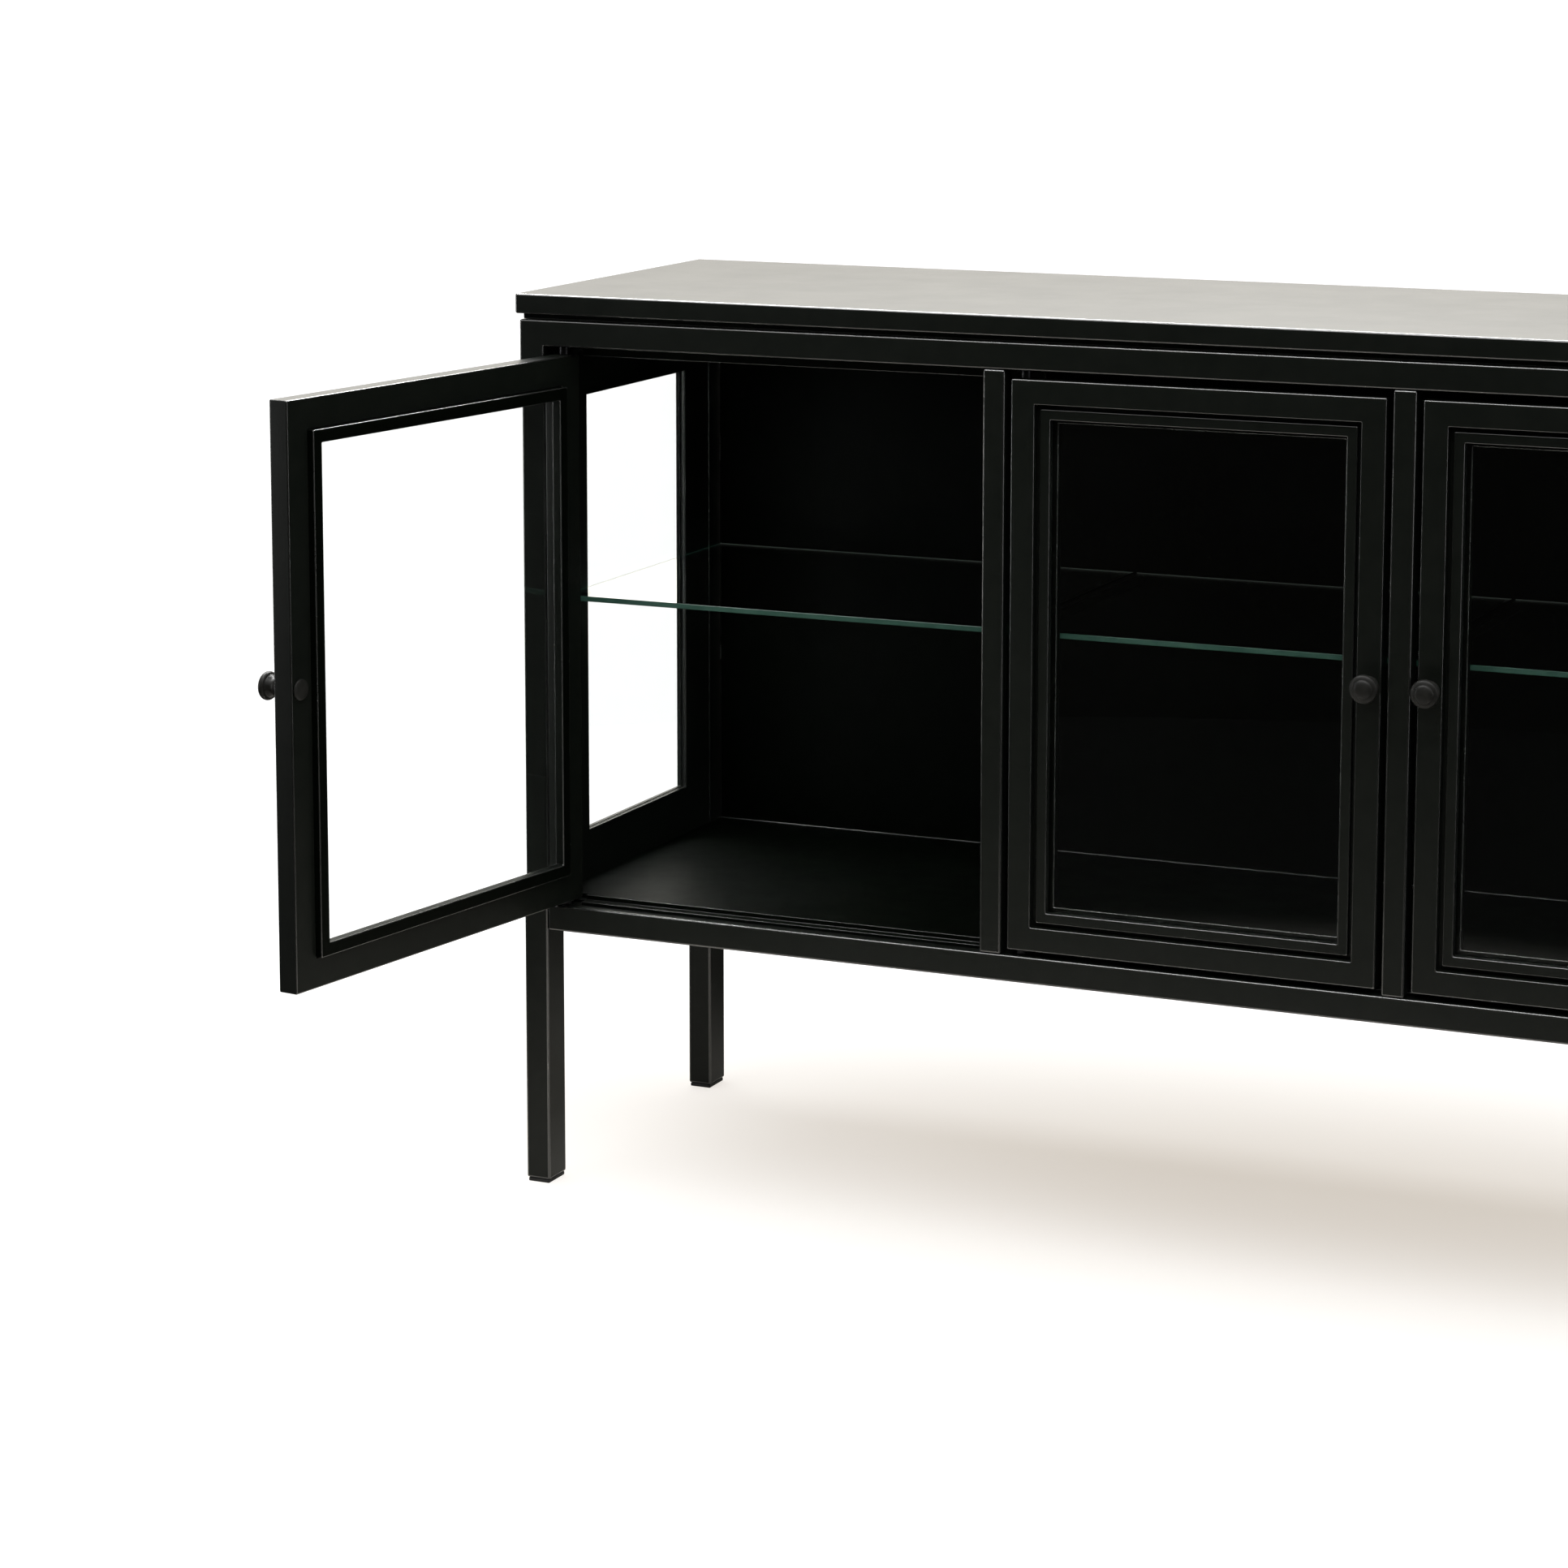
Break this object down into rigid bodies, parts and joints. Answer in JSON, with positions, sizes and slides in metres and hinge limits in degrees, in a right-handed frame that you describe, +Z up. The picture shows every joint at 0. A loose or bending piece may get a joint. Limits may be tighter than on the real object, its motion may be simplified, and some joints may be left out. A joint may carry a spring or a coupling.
{
  "type": "glass-door display cabinet",
  "caption": "Low display cabinet: black steel tube frame on slim legs, glazed doors and ends, glass shelves behind.",
  "frame": {"origin": "centre of the underside of the front left foot, on the floor", "axes": "+X to the right along the cabinet's width as seen from the front, +Y towards the back, +Z up"},
  "size_m": [1.4023, 0.811, 0.87],
  "materials": {
    "powder_coat": "satin black powder coat",
    "panel_coat": "matt black powder coat",
    "knob_finish": "semi-gloss black",
    "clear_glass": "clear, green at the edges",
    "pivot_steel": "blackened steel",
    "gasket": "matt black",
    "foot_plastic": "matt black"
  },
  "bodies": {
    "carcass": {"front_frame": "powder_coat", "rear_frame": "powder_coat", "lower_front_rail": "powder_coat", "lower_rear_rail": "powder_coat", "upper_side_rail_left": "powder_coat", "upper_side_rail_right": "powder_coat", "lower_side_rail_left": "powder_coat", "lower_side_rail_right": "powder_coat", "mullion_left": "powder_coat", "mullion_right": "powder_coat", "top_panel": "powder_coat", "side_panel_left": "powder_coat", "side_panel_right": "powder_coat", "side_bead_left": "powder_coat", "side_bead_right": "powder_coat", "shelf_bar_left": "powder_coat", "shelf_bar_right": "powder_coat", "ceiling_panel": "panel_coat", "floor_panel": "panel_coat", "back_panel": "panel_coat", "side_gasket_left": "gasket", "side_glass_left": "clear_glass", "side_gasket_right": "gasket", "side_glass_right": "clear_glass", "shelf_left": "clear_glass", "magnet_catch_left": "foot_plastic", "pivot_pin_left_bottom": "pivot_steel", "pivot_pin_left_top": "pivot_steel", "shelf_centre": "clear_glass", "magnet_catch_centre": "foot_plastic", "pivot_pin_centre_bottom": "pivot_steel", "pivot_pin_centre_top": "pivot_steel", "shelf_right": "clear_glass", "magnet_catch_right": "foot_plastic", "pivot_pin_right_bottom": "pivot_steel", "pivot_pin_right_top": "pivot_steel", "shelf_pin_left_front": "pivot_steel", "foot_front_left": "foot_plastic", "shelf_pin_left_rear": "pivot_steel", "foot_rear_left": "foot_plastic", "shelf_pin_right_front": "pivot_steel", "foot_front_right": "foot_plastic", "shelf_pin_right_rear": "pivot_steel", "foot_rear_right": "foot_plastic"},
    "left_door": {"door_frame_left": "powder_coat", "door_bead_left": "powder_coat", "door_glass_left": "clear_glass", "knob_left": "knob_finish", "knob_screw_left": "knob_finish"},
    "centre_door": {"door_frame_centre": "powder_coat", "door_bead_centre": "powder_coat", "door_glass_centre": "clear_glass", "knob_centre": "knob_finish", "knob_screw_centre": "knob_finish"},
    "right_door": {"door_frame_right": "powder_coat", "door_bead_right": "powder_coat", "door_glass_right": "clear_glass", "knob_right": "knob_finish", "knob_screw_right": "knob_finish"}
  },
  "joints": [
    {"name": "left_door_hinge", "type": "hinge", "parent": "carcass", "child": "left_door", "pos_m": [0.0295, -0.0065, 0.2845], "axis": [0, 0, -1], "range_deg": [-98.3, 11.7]},
    {"name": "centre_door_hinge", "type": "hinge", "parent": "carcass", "child": "centre_door", "pos_m": [0.4985, -0.0065, 0.2845], "axis": [0, 0, -1], "range_deg": [0, 110]},
    {"name": "right_door_hinge", "type": "hinge", "parent": "carcass", "child": "right_door", "pos_m": [1.2955, -0.0065, 0.2845], "axis": [0, 0, 1], "range_deg": [0, 110]}
  ]
}
